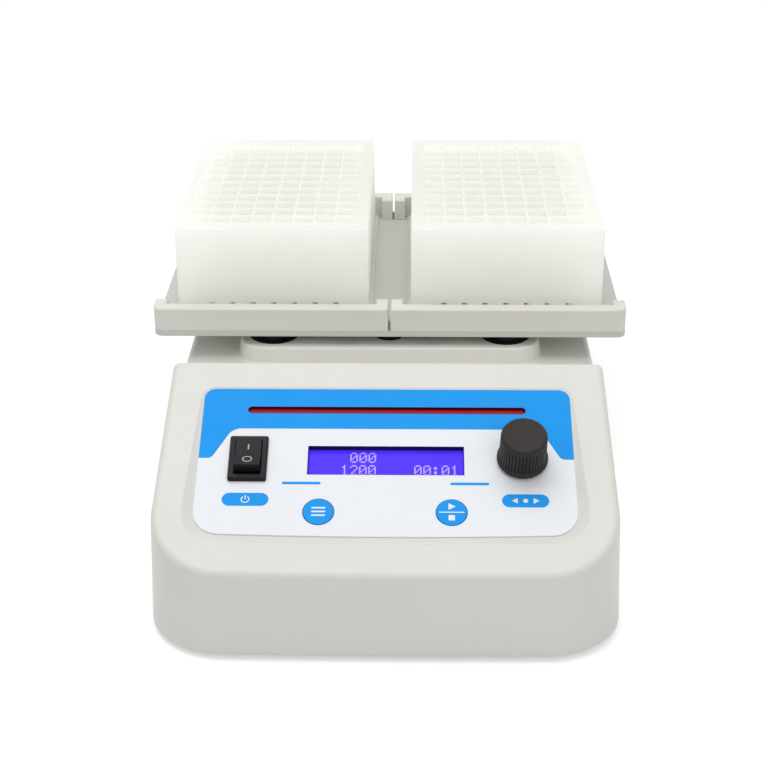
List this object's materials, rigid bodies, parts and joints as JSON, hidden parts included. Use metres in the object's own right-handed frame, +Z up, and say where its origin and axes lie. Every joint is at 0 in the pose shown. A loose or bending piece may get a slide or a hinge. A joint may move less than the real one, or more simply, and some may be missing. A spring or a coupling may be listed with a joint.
{
  "type": "microplate shaker",
  "caption": "Bench microplate shaker: sloped control console in front and a flat fenced platform behind, which circles on rubber pillars and carries deep-well plates.",
  "frame": {"origin": "on the bench, under the middle of the whole outline", "axes": "+Z up, -Y towards the user and the control console, +X to the user's right"},
  "size_m": [0.203, 0.3, 0.115],
  "materials": {
    "housing": "fine grained moulded plastic",
    "base_plate": "plain grey plastic",
    "foot_rubber": "matt",
    "buffer_rubber": "matt",
    "panel_film": "satin printed film, white and sky blue",
    "red_lens": "dark red tinted",
    "black_steel": "black",
    "display_glass": "blue display glass",
    "backlight": "milky light guide",
    "circuit_board": "solder mask",
    "fastener_steel": "zinc plated",
    "lamp_resin": "clear red",
    "switch_black": "satin black",
    "encoder_metal": "plated",
    "pin_brass": "nickel plated",
    "transformer_core": "varnished",
    "capacitor_sleeve": "shrink sleeve",
    "bracket_steel": "zinc plated sheet",
    "motor_steel": "drawn can",
    "shaft_steel": "ground",
    "hub_aluminium": "turned",
    "weight_brass": "sawn",
    "platform_metal": "light grey powder coat over aluminium",
    "fence_metal": "light grey coated",
    "key_blue": "sky blue",
    "knob_plastic": "dark brown grey, fluted",
    "clear_polypropylene": "milky translucent"
  },
  "bodies": {
    "base": {"upper_housing": "housing", "base_plate": "base_plate", "rubber_feet": "foot_rubber", "base_screws": "fastener_steel", "front_panel": "panel_film", "slot_lens": "red_lens", "display_frame": "black_steel", "display_glass": "display_glass", "display_backlight": "backlight", "display_board": "circuit_board", "control_board": "circuit_board", "board_screws": "fastener_steel", "indicator_lamps": "lamp_resin", "tact_switches": "switch_black", "switch_frame": "switch_black", "encoder_body": "encoder_metal", "encoder_nut": "fastener_steel", "power_inlet": "switch_black", "inlet_pins": "pin_brass", "power_board": "circuit_board", "power_board_screws": "fastener_steel", "mains_transformer": "transformer_core", "power_capacitors": "capacitor_sleeve", "drive_bracket": "bracket_steel", "bracket_screws": "fastener_steel", "drive_motor": "motor_steel", "motor_screws": "fastener_steel", "support_pillars": "buffer_rubber", "pillar_screws": "fastener_steel", "centre_buffers": "buffer_rubber"},
    "crank": {"motor_shaft": "shaft_steel", "eccentric_hub": "hub_aluminium", "counterweight": "weight_brass", "crank_pin": "shaft_steel", "bearing_inner_ring": "shaft_steel"},
    "platform": {"platform_plate": "platform_metal", "platform_hub": "hub_aluminium", "hub_screws": "fastener_steel", "fence_screws": "fastener_steel", "fence_front_left": "fence_metal", "fence_front_right": "fence_metal", "fence_rear_left": "fence_metal", "fence_rear_right": "fence_metal", "bearing_outer_ring": "shaft_steel"},
    "select_key": {"select_key": "key_blue"},
    "start_stop_key": {"start_stop_key": "key_blue"},
    "rocker": {"switch_rocker": "switch_black"},
    "plunger": {"encoder_plunger": "switch_black"},
    "knob": {"encoder_shaft": "encoder_metal", "knob": "knob_plastic"},
    "fuse_drawer": {"fuse_drawer": "switch_black"},
    "left_plate": {"microplate_left": "clear_polypropylene"},
    "right_plate": {"microplate_right": "clear_polypropylene"}
  },
  "joints": [
    {"name": "crank_spin", "type": "hinge", "parent": "base", "child": "crank", "pos_m": [0, 0.0606, 0.047], "axis": [0, 0, 1], "continuous": true},
    {"name": "platform_orbit", "type": "hinge", "parent": "crank", "child": "platform", "pos_m": [0, 0.0621, 0.0585], "axis": [0, 0, 1], "continuous": true},
    {"name": "select_key_press", "type": "slide", "parent": "base", "child": "select_key", "axis": [0, 0.4226, -0.9063], "range_m": [0, 0.0005], "stiffness_N_per_m": 400, "springref_m": -0.001},
    {"name": "start_stop_key_press", "type": "slide", "parent": "base", "child": "start_stop_key", "axis": [0, 0.4226, -0.9063], "range_m": [0, 0.0005], "stiffness_N_per_m": 400, "springref_m": -0.001},
    {"name": "power_rocker_tilt", "type": "hinge", "parent": "base", "child": "rocker", "pos_m": [-0.0533, -0.09778, 0.05737], "axis": [1, 0, 0], "range_deg": [0, 24]},
    {"name": "encoder_push", "type": "slide", "parent": "base", "child": "plunger", "axis": [0, 0.4226, -0.9063], "range_m": [0, 0.0005], "stiffness_N_per_m": 600, "springref_m": -0.001},
    {"name": "knob_turn", "type": "hinge", "parent": "plunger", "child": "knob", "pos_m": [0.0527, -0.09751, 0.05749], "axis": [0, -0.4226, 0.9063], "continuous": true},
    {"name": "fuse_drawer_pull", "type": "slide", "parent": "base", "child": "fuse_drawer", "axis": [0, 1, 0], "range_m": [0, 0.012]},
    {"name": "left_plate_lift", "type": "slide", "parent": "platform", "child": "left_plate", "axis": [0, 0, 1], "range_m": [0, 0.06]},
    {"name": "right_plate_lift", "type": "slide", "parent": "platform", "child": "right_plate", "axis": [0, 0, 1], "range_m": [0, 0.06]}
  ],
  "couplings": [
    {"joint": "platform_orbit", "follows": "crank_spin", "ratio": -1}
  ]
}
